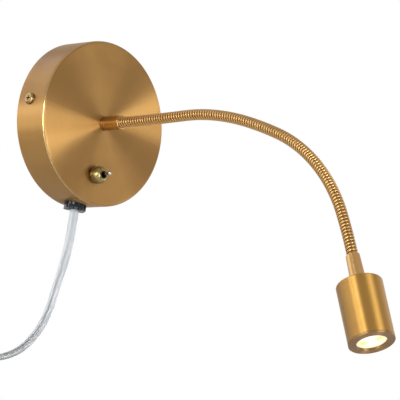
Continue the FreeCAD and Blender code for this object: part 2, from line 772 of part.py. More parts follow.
def least_gap(edges):
    """Smallest free space between parts of the cord that lie more than half a turn apart."""
    points, ways, way = [], [], 0
    for edge in edges:
        count = int(edge.Length / gap_sample) + 1
        for point in edge.discretize(Number=count + 1)[:-1]:
            points.append(point)
            ways.append(way)
            way += edge.Length / count
    apart = [(p - q).Length for i, p in enumerate(points) for j, q in enumerate(points[:i])
             if ways[i] - ways[j] > math.pi * (coil_outer_radius - coil_turns_each_way * coil_turn_spacing)]
    return min(apart) - 2 * cord_reach


def cord_coil():
    centre, inner, knots = coil_knots()
    edges = []
    for (start, heading), (end, end_heading) in zip(knots, knots[1:]):
        edges += biarc(start, heading, end, end_heading)
    print("coil least gap", round(least_gap(edges), 2), "length", round(sum(e.Length for e in edges), 1))
    coil = swept(edges, cord_radius, cord_sides, knots[0][1])
    outer = coil_outer_radius + coil_turn_spacing / 4
    middle_radius = (outer + inner) / 2
    across_strands = outer - inner + 2 * (cord_reach + tie_gap)
    through_layers = coil_layer_spacing + 2 * (cord_reach + tie_gap)
    band = box(across_strands + 2 * tie_thickness, through_layers + 2 * tie_thickness,
               -tie_width / 2, tie_width / 2)
    band = band.makeFillet(tie_corner_radius + tie_thickness, upright_edges(band))
    room = box(across_strands, through_layers, -tie_width, tie_width)
    band = band.cut(room.makeFillet(tie_corner_radius, upright_edges(room)))
    turn = Rotation(Vector(0, 1, 0), -tie_angle_deg)
    direction = turn.multVec(across)
    tie_at = centre + direction * middle_radius + Vector(0, cord_y - coil_layer_spacing / 2, 0)
    return {"cord_coil": coil, "coil_tie": placed(band, Placement(tie_at, turn))}


def tail_points():
    centre, inner, knots = coil_knots()
    points = [knots[-1][0]]
    for along_x, along_z in tail_runs:
        points.append(points[-1] + Vector(along_x, 0, along_z))
    heading = (points[-1] - points[-2]).normalize()
    return points, heading


def cord_tail():
    points, heading = tail_points()
    points[-1] = points[-1] + heading * plug_seat_depth
    edges, radii = rounded_path(points, cord_bend_share)
    print("tail bend radii", [round(r, 1) for r in radii])
    return {"cord_tail": swept(edges, cord_radius, cord_sides, across)}


def rounded_section(width, height, at):
    """Rectangle with round corners, square to Z."""
    radius = plug_corner_share * height
    blank = box(width, height, at, at + overrun)
    blank = blank.makeFillet(radius, upright_edges(blank))
    flat = [f for f in blank.Faces if abs(f.CenterOfMass.z - at) < close_length][0]
    return flat.OuterWire


def plug():
    points, heading = tail_points()
    seat = Placement(points[-1], Rotation(Vector(0, 1, 0), math.degrees(math.atan2(heading.x, heading.z))))
    grip_low = plug_sleeve_length
    grip_high = grip_low + plug_grip_length
    shoulder = grip_high + plug_shoulder_length
    face = shoulder + plug_face_length
    sections = [rounded_section(plug_grip_width, plug_grip_thickness, grip_low),
                rounded_section(plug_grip_width, plug_grip_thickness, grip_high),
                rounded_section(plug_width, plug_thickness, shoulder),
                rounded_section(plug_width, plug_thickness, face)]
    body = Part.makeLoft(sections, True, True)
    body = body.fuse(rod(plug_sleeve_radius, 0, grip_low + overrun))
    body = body.cut(rod(cord_reach + seat_gap, -overrun, plug_seat_depth))
    pins = []
    for side in (-1, 1):
        x = side * pin_spacing / 2
        body = body.cut(rod(pin_radius + seat_gap, face - pin_seat_depth, face + overrun, at_x=x))
        pin = rounded_can(pin_radius, pin_length + pin_seat_depth, pin_tip_radius)
        pin.translate(Vector(x, 0, face - pin_seat_depth))
        pins.append(pin)
    return {"plug_body": placed(body, seat), "plug_pins": placed(Part.makeCompound(pins), seat)}


# All the pieces
makers = (base_cover, wall_bracket, cover_screws, base_stem, hose, head_lead, neck, lamp_housing, lens_end,
          light_engine, toggle_switch, toggle_lever, cord_grip, driver, terminal_block, base_wires,
          power_cord, cord_coil, cord_tail, plug)
pieces = {}
for maker in makers:
    pieces.update(maker())
os.makedirs("parts", exist_ok=True)
for name, shape in pieces.items():
    shape.exportStep("parts/" + name + ".step")
print(len(pieces), "pieces")
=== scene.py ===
import logging
import math
import time
from dataclasses import dataclass
from enum import Enum
from typing import Callable, Iterable, Sequence

import bmesh
import bpy
from mathutils import Matrix, Vector


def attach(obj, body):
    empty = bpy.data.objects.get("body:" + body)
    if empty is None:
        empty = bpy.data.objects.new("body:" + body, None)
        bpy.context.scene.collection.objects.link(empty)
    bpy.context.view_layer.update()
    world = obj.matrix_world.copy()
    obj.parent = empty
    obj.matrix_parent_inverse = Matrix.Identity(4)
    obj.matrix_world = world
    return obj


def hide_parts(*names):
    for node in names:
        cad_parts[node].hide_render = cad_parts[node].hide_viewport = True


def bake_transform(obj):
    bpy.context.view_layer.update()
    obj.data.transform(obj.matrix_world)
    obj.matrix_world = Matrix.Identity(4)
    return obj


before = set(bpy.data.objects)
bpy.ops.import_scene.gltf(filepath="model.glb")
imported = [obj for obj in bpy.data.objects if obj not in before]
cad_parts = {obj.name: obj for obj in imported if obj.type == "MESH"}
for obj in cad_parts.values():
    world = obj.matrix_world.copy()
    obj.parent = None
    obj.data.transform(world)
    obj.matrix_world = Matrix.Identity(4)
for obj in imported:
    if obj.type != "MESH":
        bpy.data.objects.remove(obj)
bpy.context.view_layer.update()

log = logging.getLogger("wall_lamp")
Colour = tuple[float, float, float]
Outline = Sequence[tuple[float, float]]
Socket = bpy.types.NodeSocket
MM = 0.001
ONE_POINT = 1e-7  # Turned corners closer than this are one.
CAD_WELD = 2e-6  # Loose corners of a CAD node closer than this are one.
CAD_FLAT_DEG = 0.5  # CAD facets that turn less than this are one face.
TURNED_MAP = "turned"
MAP_ROWS_PER_METRE = 10
WHITE = (1, 1, 1, 1)
ORIGIN = Vector()
UP = Vector((0, 0, 1))
TO_ROOM = Vector((0, -1, 0))
TO_WALL = Vector((0, 1, 0))
SIDEWAYS = Vector((1, 0, 0))


def ease(share: float) -> float:
    """Smooth step: 0 to 1 with a level start and end."""
    return share * share * (3 - 2 * share)


# Materials

class Grain(Enum):
    """Which way the fine brush lines run on a piece."""

    ROUND = "round"
    NONE = "none"


class NodeBoard:
    """Adds and joins the nodes of a material or of the world."""

    def __init__(self, owner: bpy.types.ID, output: str) -> None:
        """Start with an output alone.

        Args:
            owner: The material or the world.
            output: Type name of its output node.
        """
        owner.use_nodes = True
        self.tree = owner.node_tree
        self.tree.nodes.clear()
        self.surface = self.add(output).inputs["Surface"]

    def add(self, kind: str, **settings: object) -> bpy.types.Node:
        """Add a node and set its properties.

        Args:
            kind: The node's type name.
            settings: Properties of the node.

        Returns:
            The new node.
        """
        node = self.tree.nodes.new(kind)
        for key, value in settings.items():
            setattr(node, key, value)
        return node

    def join(self, source: Socket, target: Socket) -> None:
        """Link two sockets."""
        self.tree.links.new(source, target)

    def feed(self, socket: Socket, value: object) -> None:
        """Link a socket to another one, or set its own value.

        Args:
            socket: The input.
            value: Another socket, or a number or tuple.
        """
        if isinstance(value, Socket):
            self.join(value, socket)
        else:
            socket.default_value = value

    def math(self, operation: str, first: object, second: object = 0.0) -> Socket:
        """Add a Math node.

        Args:
            operation: The node's operation.
            first: First input.
            second: Second input.

        Returns:
            The node's output.
        """
        node = self.add("ShaderNodeMath", operation=operation)
        self.feed(node.inputs[0], first)
        self.feed(node.inputs[1], second)
        return node.outputs[0]


class PaintBoard(NodeBoard):
    """Node board of one material, with a Principled shader."""

    def __init__(self, name: str) -> None:
        """Start an empty material.

        Args:
            name: The material's name.
        """
        self.material = bpy.data.materials.new(name)
        super().__init__(self.material, "ShaderNodeOutputMaterial")
        self.shader = self.add("ShaderNodeBsdfPrincipled")
        self.join(self.shader.outputs["BSDF"], self.surface)

    def shade(self, inputs: dict[str, object]) -> None:
        """Feed the shader.

        Args:
            inputs: A socket, number or tuple for each input's name.
        """
        for name, value in inputs.items():
            self.feed(self.shader.inputs[name], value)

    def local(self, centre: Vector, axis: Vector) -> Socket:
        """Object coordinates in metres, moved and turned so that a piece's axis is Z.

        Args:
            centre: Point on the piece's axis.
            axis: The axis's direction.

        Returns:
            The turned coordinates.
        """
        coordinates = self.add("ShaderNodeTexCoord")
        shift = self.add("ShaderNodeVectorMath", operation="SUBTRACT")
        self.join(coordinates.outputs["Object"], shift.inputs[0])
        shift.inputs[1].default_value = centre
        turn = self.add("ShaderNodeMapping", vector_type="POINT")
        self.join(shift.outputs[0], turn.inputs["Vector"])
        turn.inputs["Rotation"].default_value = axis.rotation_difference(UP).to_euler()
        return turn.outputs[0]

    def split(self, vector: Socket) -> Sequence[Socket]:
        """Take a vector apart.

        Args:
            vector: The vector.

        Returns:
            Its three parts.
        """
        node = self.add("ShaderNodeSeparateXYZ")
        self.join(vector, node.inputs[0])
        return node.outputs

    def gather(self, *parts: object) -> Socket:
        """Put a vector together.

        Args:
            parts: Up to three sockets or numbers.

        Returns:
            The vector.
        """
        node = self.add("ShaderNodeCombineXYZ")
        for socket, part in zip(node.inputs, parts):
            self.feed(socket, part)
        return node.outputs[0]

    def noise(self, vector: Socket, scale: float, detail: float = 2.0, rough: float = 0.55
              ) -> Socket:
        """Add a Noise texture.

        Args:
            vector: Where it is read.
            scale: Its scale.
            detail: Its octaves.
            rough: How strong the small octaves are.

        Returns:
            The noise value.
        """
        node = self.add("ShaderNodeTexNoise")
        self.join(vector, node.inputs["Vector"])
        node.inputs["Scale"].default_value = scale
        node.inputs["Detail"].default_value = detail
        node.inputs["Roughness"].default_value = rough
        return node.outputs["Fac"]

    def spread(self, value: Socket, low: float, high: float, to_low: float, to_high: float
               ) -> Socket:
        """Map a value from one range to another, clamped.

        Args:
            value: The value.
            low: Start of its range.
            high: End of its range.
            to_low: Result at the start.
            to_high: Result at the end.

        Returns:
            The mapped value.
        """
        node = self.add("ShaderNodeMapRange")
        self.join(value, node.inputs["Value"])
        for name, number in zip(("From Min", "From Max", "To Min", "To Max"),
                                (low, high, to_low, to_high)):
            node.inputs[name].default_value = number
        return node.outputs["Result"]

    def vary(self, noise: Socket, least: float, most: float) -> Socket:
        """Spread a noise, whose values lie about from 0.3 to 0.7, between two numbers."""
        return self.spread(noise, 0.3, 0.7, least, most)

    def blend_colours(self, factor: Socket, first: object, second: object) -> Socket:
        """Mix two colours.

        Args:
            factor: Share of the second.
            first: First colour, three numbers or a socket.
            second: Second colour.

        Returns:
            The mixed colour.
        """
        node = self.add("ShaderNodeMix", data_type="RGBA")
        self.join(factor, node.inputs["Factor"])
        for socket, colour in zip((node.inputs[6], node.inputs[7]), (first, second)):
            self.feed(socket, colour if isinstance(colour, Socket) else (*colour, 1.0))
        return node.outputs[2]

    def bump(self, height: Socket, distance: float, strength: float) -> None:
        """Raise the surface by a height.

        Args:
            height: The height value.
            distance: What a height of 1 stands for, in metres.
            strength: Share of it that is used.
        """
        node = self.add("ShaderNodeBump")
        node.inputs["Strength"].default_value = strength
        node.inputs["Distance"].default_value = distance
        self.join(height, node.inputs["Height"])
        self.join(node.outputs["Normal"], self.shader.inputs["Normal"])


@dataclass(frozen=True)
class Finish:
    """What a piece is finished in."""

    name: str

    def material(self, centre: Vector = ORIGIN, axis: Vector = UP) -> bpy.types.Material:
        """Build the material for one piece.

        Args:
            centre: Point on the piece's axis.
            axis: The piece's axis, which brushing runs round.

        Returns:
            The material.
        """
        board = PaintBoard(self.name)
        self.paint(board, board.local(centre, axis))
        return board.material

    def paint(self, board: PaintBoard, place: Socket) -> None:
        """Add the finish's nodes to a board.

        Args:
            board: The material's board.
            place: Coordinates on the piece.
        """
        raise NotImplementedError


@dataclass(frozen=True)
class Metal(Finish):
    """Brushed or polished metal with fine lines and a little tarnish."""

    colour: Colour
    tarnish: Colour
    roughness: float = 0.3
    grain: Grain = Grain.ROUND
    line_depth: float = 0.25
    line_contrast: float = 0.16
    line_play: float = 0.05
    line_height: float = 0.00003
    line_detail: float = 4.0
    line_harshness: float = 0.65
    line_wander: float = 1.3
    lines_per_metre: float = 2600.0
    even_share: float = 0.4
    anisotropy: float = 0.0
    quarter_turn: float = 0.25
    cloud_scale: float = 38.0
    cloud_detail: float = 3.0
    cloud_share: float = 0.75
    speck_scale: float = 420.0
    smoother_by: float = 0.03
    rougher_by: float = 0.04
    tarnish_amount: float = 0.35
    tarnish_span: tuple[float, float] = (0.42, 0.68)
    lacquer: float = 0.0
    lacquer_roughness: float = 0.3
    least_radius: float = 1e-5

    def line_place(self, board: PaintBoard, place: Socket) -> Socket:
        """Coordinates in which a plain noise draws the brush lines.

        Args:
            board: The material's board.
            place: Coordinates on the piece.

        Returns:
            The stretched coordinates.
        """
        x, y, z = board.split(place)
        dense = self.lines_per_metre
        if self.grain is Grain.NONE:
            return board.gather(*(board.math("MULTIPLY", part, self.even_share * dense)
                                  for part in (x, y, z)))
        radius = board.math("SQRT", board.math("ADD", board.math("MULTIPLY", x, x),
                                               board.math("MULTIPLY", y, y)))
        safe = board.math("MAXIMUM", radius, self.least_radius)
        wander_x, wander_y = (board.math("MULTIPLY", board.math("DIVIDE", part, safe),
                                         self.line_wander) for part in (x, y))
        return board.gather(board.math("ADD", board.math("MULTIPLY", radius, dense), wander_x),
                            board.math("MULTIPLY", z, dense), wander_y)

    def paint(self, board: PaintBoard, place: Socket) -> None:
        """Add lines, clouds of tarnish and, on turned pieces, the streak that brushing gives.

        Args:
            board: The material's board.
            place: Coordinates on the piece.
        """
        fine = board.noise(self.line_place(board, place), 1.0, self.line_detail,
                           self.line_harshness)
        cloud = board.noise(place, self.cloud_scale, self.cloud_detail)
        speck = board.noise(place, self.speck_scale)
        stain = board.math("ADD", board.math("MULTIPLY", cloud, self.cloud_share),
                           board.math("MULTIPLY", speck, 1 - self.cloud_share))
        stain = board.spread(stain, *self.tarnish_span, 0.0, self.tarnish_amount)
        tint = board.add("ShaderNodeVectorMath", operation="SCALE")
        board.join(board.blend_colours(stain, self.colour, self.tarnish), tint.inputs[0])
        board.join(board.vary(fine, 1 - self.line_contrast, 1 + self.line_contrast),
                   tint.inputs["Scale"])
        rough = board.math("ADD", board.vary(fine, -self.line_play, self.line_play),
                           board.vary(cloud, self.roughness - self.smoother_by,
                                      self.roughness + self.rougher_by))
        board.shade({"Base Color": tint.outputs[0], "Roughness": rough, "Metallic": 1.0,
                     "Anisotropic": self.anisotropy, "Coat Weight": self.lacquer,
                     "Coat Roughness": self.lacquer_roughness})
        if self.anisotropy:
            tangent = board.add("ShaderNodeTangent", direction_type="UV_MAP", uv_map=TURNED_MAP)
            board.shade({"Anisotropic Rotation": self.quarter_turn, "Tangent": tangent.outputs[0]})
        board.bump(fine, self.line_height, self.line_depth)


@dataclass(frozen=True)
class Plastic(Finish):
    """Moulded plastic or rubber with a faint grain."""

    colour: Colour
    roughness: float = 0.4
    roughness_play: float = 0.05
    grain_size: float = 900.0
    grain_depth: float = 0.2
    grain_height: float = 0.00005
    cloud_coarseness: float = 20
    shade: float = 0.08
    gloss: float = 0.5

    def paint(self, board: PaintBoard, place: Socket) -> None:
        """Add the grain and a faint cloud.

        Args:
            board: The material's board.
            place: Coordinates on the piece.
        """
        grain = board.noise(place, self.grain_size)
        cloud = board.noise(place, self.grain_size / self.cloud_coarseness)
        light = tuple(min(1.0, c * (1 + self.shade)) for c in self.colour)
        dark = tuple(c * (1 - self.shade) for c in self.colour)
        board.shade({"Base Color": board.blend_colours(board.vary(cloud, 0.0, 1.0), dark, light),
                     "Roughness": board.vary(grain, self.roughness - self.roughness_play,
                                             self.roughness + self.roughness_play),
                     "Specular IOR Level": self.gloss})
        board.bump(grain, self.grain_height, self.grain_depth)


@dataclass(frozen=True)
class ClearJacket(Finish):
    """Clear flexible plastic of the cord, slightly milky, with painted shade that greys it where it
    turns away.
    """

    colour: Colour = (0.98, 0.975, 0.965)
    milk: float = 0.93
    # Grey that the edges turn to where they face away: painted shade.
    edge: Colour = (0.40, 0.39, 0.38)
    edge_shade_from: float = 0.3
    edge_shade_to: float = 0.95
    roughness: float = 0.31
    roughness_play: float = 0.02
    transmission: float = 0.97
    ior: float = 1.33
    cloud_scale: float = 120.0
    cloud_height: float = 0.0001
    cloud_depth: float = 0.03

    def paint(self, board: PaintBoard, place: Socket) -> None:
        """Add the milky clouds and the painted shade on the edges that turn away.

        Args:
            board: The material's board.
            place: Coordinates on the piece.
        """
        cloud = board.noise(place, self.cloud_scale)
        clear = board.blend_colours(board.vary(cloud, 0.0, 1.0), self.colour,
                                    tuple(c * self.milk for c in self.colour))
        facing = board.add("ShaderNodeLayerWeight").outputs["Facing"]
        edge_shade = board.spread(facing, self.edge_shade_from, self.edge_shade_to, 0.0, 1.0)
        board.shade({"Base Color": board.blend_colours(edge_shade, clear, self.edge),
                     "Roughness": board.vary(cloud, self.roughness - self.roughness_play,
                                             self.roughness + self.roughness_play),
                     "Transmission Weight": self.transmission, "IOR": self.ior})
        board.bump(cloud, self.cloud_height, self.cloud_depth)


@dataclass(frozen=True)
class GlowingLens(Finish):
    """Frosted lens lit from behind by two chips."""

    colour: Colour = (0.965, 0.945, 0.885)
    rim: Colour = (0.96, 0.90, 0.55)
    rim_from: float = 0.55
    chip: Colour = (0.80, 0.80, 0.17)
    chip_amount: float = 0.95
    chip_core: float = 0.3
    chip_reach: float = 1.9
    chip_offset: float = 5.5 * MM
    chip_radius: float = 2.3 * MM
    chip_turn_deg: float = 69.0
    radius: float = 10.0 * MM
    glow: float = 1.0
    unlit: Colour = (0.05, 0.05, 0.045)
    roughness: float = 0.35
    gloss: float = 0.25
    frost_scale: float = 1500.0
    frost_height: float = 0.00003
    frost_depth: float = 0.15

    def paint(self, board: PaintBoard, place: Socket) -> None:
        """Add the glow, its yellow rim and the two chips either side of the centre.

        Args:
            board: The material's board.
            place: Coordinates on the lens, from its centre.
        """
        flat = board.gather(*board.split(place)[:2])
        length = board.add("ShaderNodeVectorMath", operation="LENGTH")
        board.join(flat, length.inputs[0])
        rim = board.spread(length.outputs["Value"], self.rim_from * self.radius, self.radius,
                           0.0, 1.0)
        colour = board.blend_colours(rim, self.colour, self.rim)
        turn = math.radians(self.chip_turn_deg)
        for side in (-self.chip_offset, self.chip_offset):
            gap = board.add("ShaderNodeVectorMath", operation="DISTANCE")
            board.join(flat, gap.inputs[0])
            gap.inputs[1].default_value = (side * math.cos(turn), side * math.sin(turn), 0)
            near = board.spread(gap.outputs["Value"], self.chip_core * self.chip_radius,
                                self.chip_reach * self.chip_radius, self.chip_amount, 0.0)
            colour = board.blend_colours(near, colour, self.chip)
        board.shade({"Emission Color": colour, "Emission Strength": self.glow,
                     "Base Color": (*self.unlit, 1.0), "Roughness": self.roughness,
                     "Specular IOR Level": self.gloss})
        board.bump(board.noise(place, self.frost_scale), self.frost_height, self.frost_depth)


BRUSHED_FACE = Metal(
    "brass_brushed_face", (0.295, 0.151, 0.042), (0.255, 0.127, 0.035), 0.40, anisotropy=0.99,
    lacquer=0.15, lacquer_roughness=0.26, line_contrast=0.06, line_depth=0.04, tarnish_amount=0.2)
BRUSHED_STEM = Metal(
    "brass_brushed_stem", (0.38, 0.21, 0.06), (0.31, 0.165, 0.045), 0.25, anisotropy=0.95,
    lines_per_metre=4200.0, line_contrast=0.04, line_depth=0.02, lacquer=0.2, tarnish_amount=0.1)
BRUSHED_NECK = Metal(
    "brass_brushed_neck", (0.40, 0.225, 0.08), (0.32, 0.17, 0.06), 0.22, anisotropy=0.8,
    lines_per_metre=4200.0, line_contrast=0.03, line_depth=0.02, lacquer=0.1, tarnish_amount=0.1)
BRUSHED_HEAD = Metal(
    "brass_brushed_head", (0.34, 0.175, 0.038), (0.29, 0.144, 0.030), 0.43, anisotropy=0.94,
    lines_per_metre=4200.0, line_contrast=0.025, line_depth=0.02, lacquer=0.15, tarnish_amount=0.15)
BRUSHED_RING = Metal(
    "brass_brushed_ring", (0.245, 0.135, 0.055), (0.20, 0.105, 0.043), 0.464, anisotropy=0.9,
    lines_per_metre=4200.0, line_contrast=0.04, line_depth=0.03, tarnish_amount=0.15)
EDGE_BRASS = Metal(
    "brass_edge", (0.36, 0.225, 0.095), (0.30, 0.18, 0.07), 0.18, Grain.NONE, line_depth=0.02,
    line_contrast=0.03, tarnish_amount=0.1)
HOSE_BRASS = Metal(
    "hose_brass", (0.40, 0.225, 0.08), (0.29, 0.145, 0.042), 0.24, Grain.NONE, line_depth=0.04,
    line_contrast=0.04, tarnish_amount=0.3)
# Dark brass for the faces low in the hose's grooves: painted shade in the grooves.
HOSE_GROOVE_SHADE = Metal(
    "hose_groove_shade", (0.14, 0.07, 0.018), (0.10, 0.048, 0.012), 0.4, Grain.NONE, line_depth=0.04,
    line_contrast=0.04, tarnish_amount=0.3)
SWITCH_BRASS = Metal(
    "switch_brass", (0.23, 0.165, 0.062), (0.17, 0.115, 0.038), 0.28, anisotropy=0.95,
    line_depth=0.02, line_contrast=0.03, tarnish_amount=0.15)
SCREW_BRASS = Metal("screw_brass", (0.23, 0.14, 0.056), (0.17, 0.10, 0.036), 0.16,
                    line_depth=0.05, line_contrast=0.04)
BUSHING = Metal("bushing_brass", (0.17, 0.14, 0.075), (0.12, 0.095, 0.045), 0.25,
                line_depth=0.05, line_contrast=0.04)
CHROME = Metal("chrome", (0.34, 0.32, 0.27), (0.26, 0.24, 0.19), 0.16,
               line_depth=0.05, line_contrast=0.04)
ZINC = Metal("zinc_steel", (0.50, 0.51, 0.52), (0.38, 0.39, 0.39), 0.38, line_contrast=0.08)
ALUMINIUM = Metal("sink_aluminium", (0.66, 0.67, 0.68), (0.5, 0.5, 0.52), 0.38, line_contrast=0.08)
PIN_METAL = Metal("pin_metal", (0.70, 0.66, 0.52), (0.5, 0.45, 0.33), 0.2, line_contrast=0.05)
TIN = Metal("tinned_strands", (0.47, 0.46, 0.445), (0.43, 0.42, 0.405), 0.5, Grain.NONE,
            line_depth=0.0, line_contrast=0.03)
BLACK_PLASTIC = Plastic("black_plastic", (0.006, 0.006, 0.007), 0.2, grain_depth=0.02, gloss=0.2)
BLACK_RUBBER = Plastic("black_rubber", (0.018, 0.018, 0.018), 0.6)
DRIVER_WHITE = Plastic("driver_white", (0.72, 0.72, 0.70), 0.42)
BOARD_WHITE = Plastic("board_white", (0.78, 0.79, 0.78), 0.3)
CHIP_YELLOW = Plastic("chip_yellow", (0.80, 0.70, 0.10), 0.35)
CIRCUIT_GREEN = Plastic("circuit_green", (0.02, 0.11, 0.04), 0.35)
BLOCK_CREAM = Plastic("block_cream", (0.62, 0.58, 0.46), 0.5)
FOAM = Plastic("foam_pad", (0.03, 0.03, 0.03), 0.9, grain_size=1600.0, grain_depth=0.6)
WIRE_BROWN = Plastic("wire_cover", (0.16, 0.07, 0.03), 0.4)
FLOOR_WHITE = Plastic("floor_white", (0.93, 0.93, 0.93), 0.7, shade=0.01)
CLEAR = ClearJacket("clear_jacket")
LENS = GlowingLens("glowing_lens")


# Mesh tools

class Bench:
    """Mesh making that every sub-assembly uses."""

    @staticmethod
    def towards(point: Vector, direction: Vector) -> Matrix:
        """Frame whose Z looks in a direction in the plane x = 0 and whose X stays global X.

        Args:
            point: Origin of the frame.
            direction: Where its Z looks.

        Returns:
            The frame as a matrix.
        """
        z = direction.normalized()
        y = z.cross(SIDEWAYS).normalized()
        return Matrix.Translation(point) @ Matrix((SIDEWAYS, y, z)).transposed().to_4x4()

    @staticmethod
    def finished(name: str, bm: bmesh.types.BMesh, place: Matrix = Matrix.Identity(4),
                 sharp: float = 35.0) -> bpy.types.Object:
        """Turn a bmesh into a smooth-shaded object at the origin.

        Args:
            name: The object's name.
            bm: Its mesh, which is freed.
            place: Where the mesh goes.
            sharp: Edges over this angle, in degrees, stay crisp.

        Returns:
            The object.
        """
        bm.transform(place)
        mesh = bpy.data.meshes.new(name)
        bm.to_mesh(mesh)
        bm.free()
        mesh.shade_smooth()
        mesh.set_sharp_from_angle(angle=math.radians(sharp))
        piece = bpy.data.objects.new(name, mesh)
        bpy.context.scene.collection.objects.link(piece)
        return piece

    @staticmethod
    def close(bm: bmesh.types.BMesh) -> None:
        """Close a mesh's open ends and turn its faces outwards.

        The operator judges by the point farthest from the middle, and the end of a wound rib can
        mislead it, so the sign of the volume decides.

        Args:
            bm: The mesh, without doubles.
        """
        bmesh.ops.holes_fill(bm, edges=[e for e in bm.edges if e.is_boundary], sides=0)
        bmesh.ops.recalc_face_normals(bm, faces=bm.faces)
        if bm.calc_volume(signed=True) < 0:
            bmesh.ops.reverse_faces(bm, faces=bm.faces)

    @staticmethod
    def lathe(name: str, outline: Outline, place: Matrix, steps: int = 96) -> bpy.types.Object:
        """Spin a closed outline round Z.

        Args:
            name: The object's name.
            outline: Radius and height of each corner, in metres, in order round the section.
            place: Where the piece goes.
            steps: Facets round the axis.

        Returns:
            The object.
        """
        bm = bmesh.new()
        corners = [bm.verts.new((radius, 0, height)) for radius, height in outline]
        edges = [bm.edges.new(pair) for pair in zip(corners, corners[1:] + corners[:1])
                 if max(v.co.x for v in pair) > ONE_POINT]
        bmesh.ops.spin(bm, geom=corners + edges, axis=UP, angle=2 * math.pi, steps=steps,
                       use_merge=True)
        bmesh.ops.remove_doubles(bm, verts=bm.verts, dist=ONE_POINT)
        Bench.close(bm)
        Bench.turned_map(bm)
        return Bench.finished(name, bm, place)

    @staticmethod
    def turned_map(bm: bmesh.types.BMesh) -> None:
        """Map a turned piece for its brush direction: U runs round the axis, V along the outline.

        Args:
            bm: The mesh, still about Z.
        """
        layer = bm.loops.layers.uv.new(TURNED_MAP)
        whole = 2 * math.pi
        for face in bm.faces:
            middle = face.calc_center_median()
            heading = math.atan2(middle.y, middle.x)
            for loop in face.loops:
                at = loop.vert.co
                radius = math.hypot(at.x, at.y)
                swing = math.atan2(at.y, at.x) - heading if radius > ONE_POINT else 0.0
                swing = (swing + math.pi) % whole - math.pi
                loop[layer].uv = (heading + swing) / whole, (at.z - radius) * MAP_ROWS_PER_METRE

    @staticmethod
    def arc(centre: tuple[float, float], radius: float, start: float, end: float, steps: int,
            stretch: float = 1.0) -> list[tuple[float, float]]:
        """Points on an arc in an outline.

        Args:
            centre: The arc's centre.
            radius: Its radius.
            start: First angle in degrees, from the outline's first direction to its second.
            end: Last angle.
            steps: How many pieces it has.
            stretch: Its reach in the second direction, as a share of the radius.

        Returns:
            The points.
        """
        angles = [math.radians(start + (end - start) * i / steps) for i in range(steps + 1)]
        return [(centre[0] + radius * math.cos(a), centre[1] + radius * stretch * math.sin(a))
                for a in angles]

    @staticmethod
    def smoothed(node: str, name: str, sharp: float = 32.0) -> bpy.types.Object:
        """Smooth-shaded copy of a CAD node, which it replaces.

        Args:
            node: The CAD node.
            name: The copy's name.
            sharp: Edges over this angle, in degrees, stay crisp.

        Returns:
            The copy.
        """
        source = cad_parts[node]
        bm = bmesh.new()
        bm.from_mesh(source.data)
        bmesh.ops.remove_doubles(bm, verts=bm.verts, dist=CAD_WELD)
        bmesh.ops.dissolve_limit(bm, angle_limit=math.radians(CAD_FLAT_DEG), verts=bm.verts,
                                 edges=bm.edges)
        piece = Bench.finished(name, bm, source.matrix_world.copy(), sharp)
        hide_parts(node)
        return piece

    @staticmethod
    def dress(piece: bpy.types.Object, material: bpy.types.Material, slot: str, body: str = ""
              ) -> bpy.types.Object:
        """Give a piece its material, and let it ride on a body.

        Args:
            piece: The object.
            material: Its material.
            slot: The record's material slot; not used.
            body: The body, or nothing to leave the piece on no body.

        Returns:
            The piece.
        """
        piece.data.materials.append(material)
        if body:
            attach(piece, body)
        log.info("piece %s rides on %s", piece.name, body or "two bodies")
        return piece

    @staticmethod
    def coat_node(node: str, material: bpy.types.Material) -> None:
        """Give a carried-over CAD node a procedural material.

        Args:
            node: The CAD node.
            material: Its material.
        """
        mesh_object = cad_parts[node]
        if not mesh_object.material_slots:
            mesh_object.data.materials.append(material)
        for place in mesh_object.material_slots:
            place.material = material
        log.info("node %s wears %s", node, material.name)


# Where the hose runs

@dataclass
class HosePath:
    """Centre line of the hose: arcs of equal length, each bending down by its own angle."""

    start: Vector = TO_ROOM * (46.0 * MM)
    pitch: float = 2.38 * MM
    ribs_per_cell: int = 13
    bends_deg: tuple[float, ...] = (-1, -1, 10, 8, 5, 13, 13, 14, 4)

    @property
    def cell(self) -> float:
        """Length of one arc."""
        return self.ribs_per_cell * self.pitch

    @property
    def length(self) -> float:
        """Length between the two ferrules' mouths."""
        return len(self.bends_deg) * self.cell

    def at(self, distance: float) -> tuple[Vector, float]:
        """Point and slope at a distance from the stem's mouth.

        Args:
            distance: Distance along the hose, which may lie before its start or past its end.

        Returns:
            The point, and how far the hose points down there, in radians.
        """
        point, down, left = self.start.copy(), 0.0, max(distance, 0.0)
        for bend in self.bends_deg:
            step = min(left, self.cell)
            curve = math.radians(bend) / self.cell
            turned = down + curve * step
            point += Vector((0, (math.sin(down) - math.sin(turned)) / curve,
                             (math.cos(turned) - math.cos(down)) / curve))
            down, left = turned, left - step
        beyond = left if distance > 0 else distance
        return point + Vector((0, -math.cos(down), -math.sin(down))) * beyond, down

    def wrap(self, local: Vector) -> Vector:
        """Place a point of a straight hose along Z on the bent one.

        Args:
            local: The point; its Z is the distance along the hose.

        Returns:
            The point on the bent hose.
        """
        point, down = self.at(local.z)
        return point + Vector((local.x, -math.sin(down) * local.y, math.cos(down) * local.y))

    def frame_at(self, distance: float) -> Matrix:
        """Frame on the centre line whose Z looks along the hose.

        Args:
            distance: Distance along the hose.

        Returns:
            The frame as a matrix.
        """
        point, down = self.at(distance)
        return Bench.towards(point, Vector((0, -math.cos(down), -math.sin(down))))


HOSE = HosePath()
WALL = Bench.towards(ORIGIN, TO_ROOM)


# Studio

